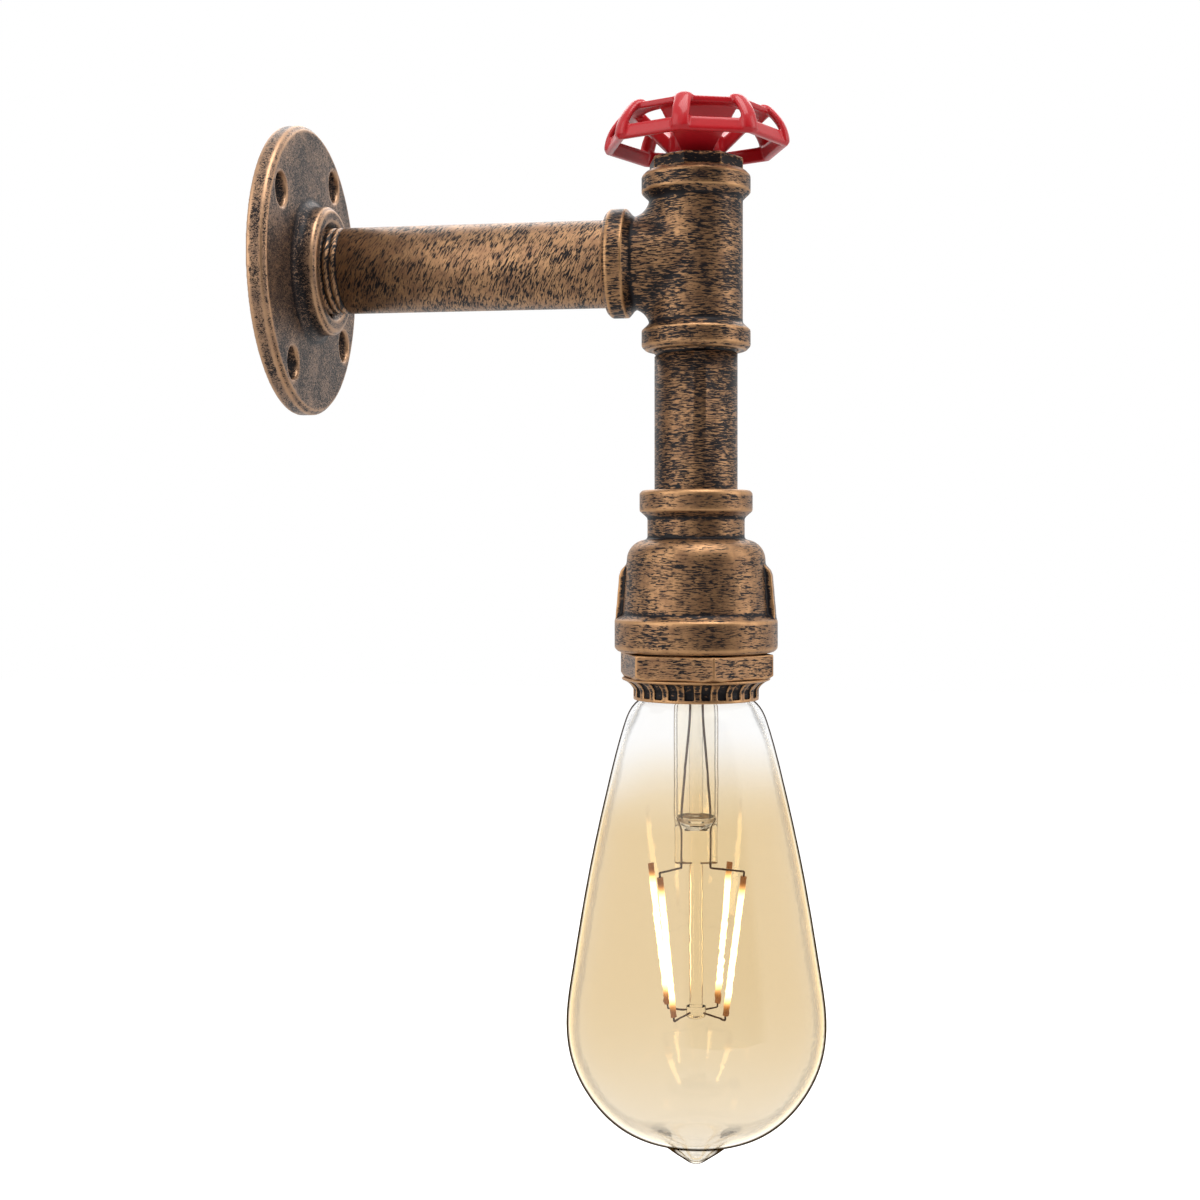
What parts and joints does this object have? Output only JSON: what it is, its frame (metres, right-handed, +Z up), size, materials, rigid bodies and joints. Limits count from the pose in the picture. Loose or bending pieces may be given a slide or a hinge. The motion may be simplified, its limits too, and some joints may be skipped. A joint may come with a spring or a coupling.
{
  "type": "industrial pipe wall light",
  "caption": "Wall light built from threaded pipe fittings: wall flange, arm, tee with a red valve handwheel, and a bell reducer with a pear-shaped amber filament bulb that screws out.",
  "frame": {"origin": "centre of the wall flange's back face, which lies on the wall", "axes": "+Z up, +Y into the wall, -Y out along the arm; the lamp's upright axis is at y = -0.103 m"},
  "size_m": [0.073, 0.135, 0.2603],
  "materials": {
    "dry_brushed_iron": "black base coat with copper dry-brushed over the raised surfaces",
    "red_enamel": "gloss",
    "zinc_steel": "zinc plated",
    "thermoset": "moulded",
    "brass": "rolled",
    "brown_insulation": "extruded",
    "blue_insulation": "extruded",
    "green_yellow_insulation": "extruded",
    "nickel_plate": "rolled and plated",
    "black_cap_glass": "gloss",
    "amber_glass": "clear at the top, amber below",
    "clear_glass": "clear",
    "nickel_wire": "drawn",
    "circuit_board": "laminate",
    "phosphor_coating": "silicone coated"
  },
  "bodies": {
    "fixture": {"wall_flange": "dry_brushed_iron", "arm_pipe": "dry_brushed_iron", "tee": "dry_brushed_iron", "top_plug": "dry_brushed_iron", "drop_pipe": "dry_brushed_iron", "bell_reducer": "dry_brushed_iron", "hex_bush": "dry_brushed_iron", "fluted_ring": "dry_brushed_iron", "wheel_spring_washer": "zinc_steel", "wheel_washer": "zinc_steel", "wheel_screw": "zinc_steel", "wheel_lock_nut": "zinc_steel", "terminal_screws": "zinc_steel", "holder_body": "thermoset", "holder_shell": "brass", "holder_centre_contact": "brass", "live_terminal": "brass", "neutral_terminal": "brass", "earth_terminal": "brass", "live_wire": "brown_insulation", "neutral_wire": "blue_insulation", "earth_wire": "green_yellow_insulation"},
    "wheel": {"handwheel": "red_enamel"},
    "bulb_carriage": {"bulb_centre_contact": "brass"},
    "bulb": {"bulb_cap": "nickel_plate", "bulb_insulator": "black_cap_glass", "bulb_glass": "amber_glass", "bulb_stem": "clear_glass", "bulb_lead_wires": "nickel_wire", "filament_supports_top": "nickel_wire", "filament_supports_foot": "nickel_wire", "bulb_driver_board": "circuit_board", "led_filaments": "phosphor_coating"}
  },
  "joints": [
    {"name": "wheel_spin", "type": "hinge", "parent": "fixture", "child": "wheel", "pos_m": [0, -0.103, 0.031], "axis": [0, 0, 1], "continuous": true},
    {"name": "bulb_lower", "type": "slide", "parent": "fixture", "child": "bulb_carriage", "axis": [0, 0, -1], "range_m": [0, 0.02]},
    {"name": "bulb_turn", "type": "hinge", "parent": "bulb_carriage", "child": "bulb", "pos_m": [0, -0.103, -0.095], "axis": [0, 0, -1], "range_deg": [0, 1980]}
  ],
  "couplings": [
    {"joint": "bulb_lower", "follows": "bulb_turn", "m_per_rad": 0.00057757}
  ]
}
